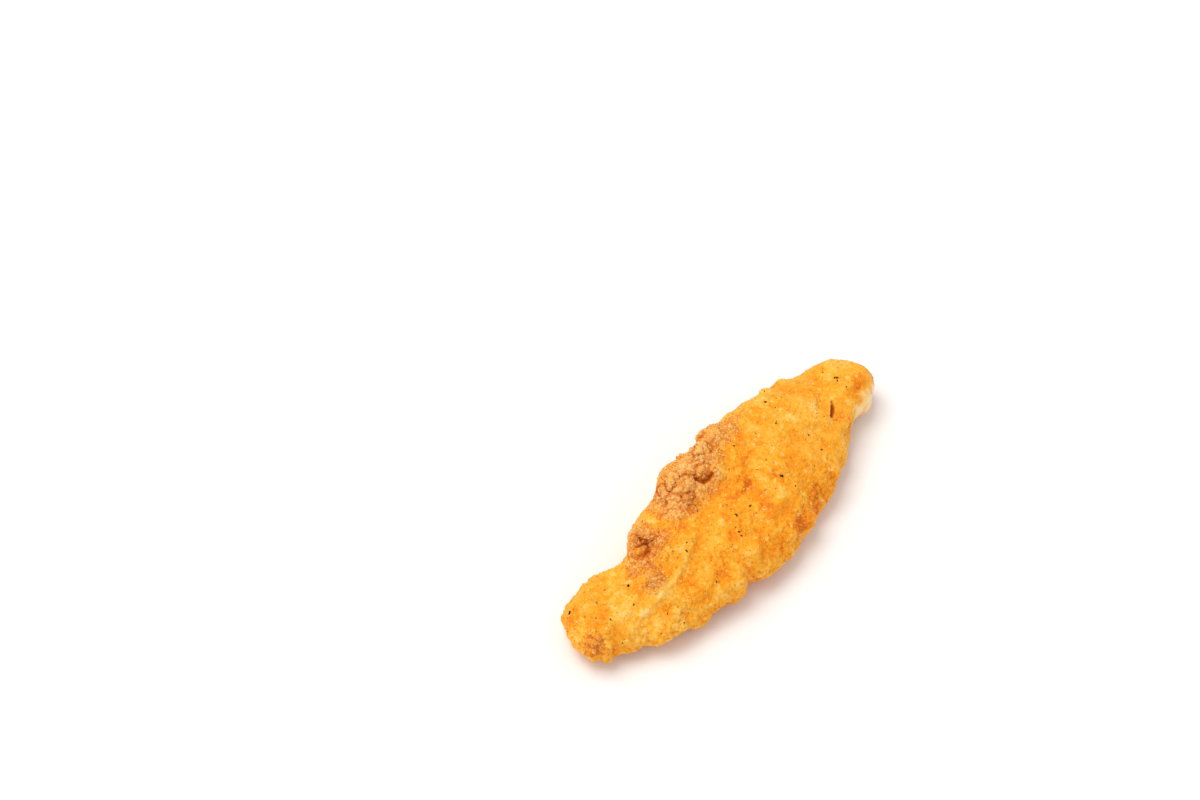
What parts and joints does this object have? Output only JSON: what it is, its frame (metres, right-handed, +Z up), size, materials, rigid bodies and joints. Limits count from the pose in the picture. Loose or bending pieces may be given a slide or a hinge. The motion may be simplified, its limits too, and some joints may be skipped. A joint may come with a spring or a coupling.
{
  "type": "chicken tender",
  "caption": "Breaded and fried chicken tender, a long lumpy strip with a broad end, a tapered tip, craggy edges and browned patches of crumb.",
  "frame": {"origin": "on the surface that the tender rests on, under the middle of its outline", "axes": "+X along the tender from the broad end to the tapered tip, +Y to the long edge with the browned crumb, +Z up, away from the resting side"},
  "size_m": [0.1242, 0.0424, 0.0241],
  "materials": {
    "crust": null
  },
  "bodies": {
    "root": {"tender": "crust"}
  },
  "joints": []
}
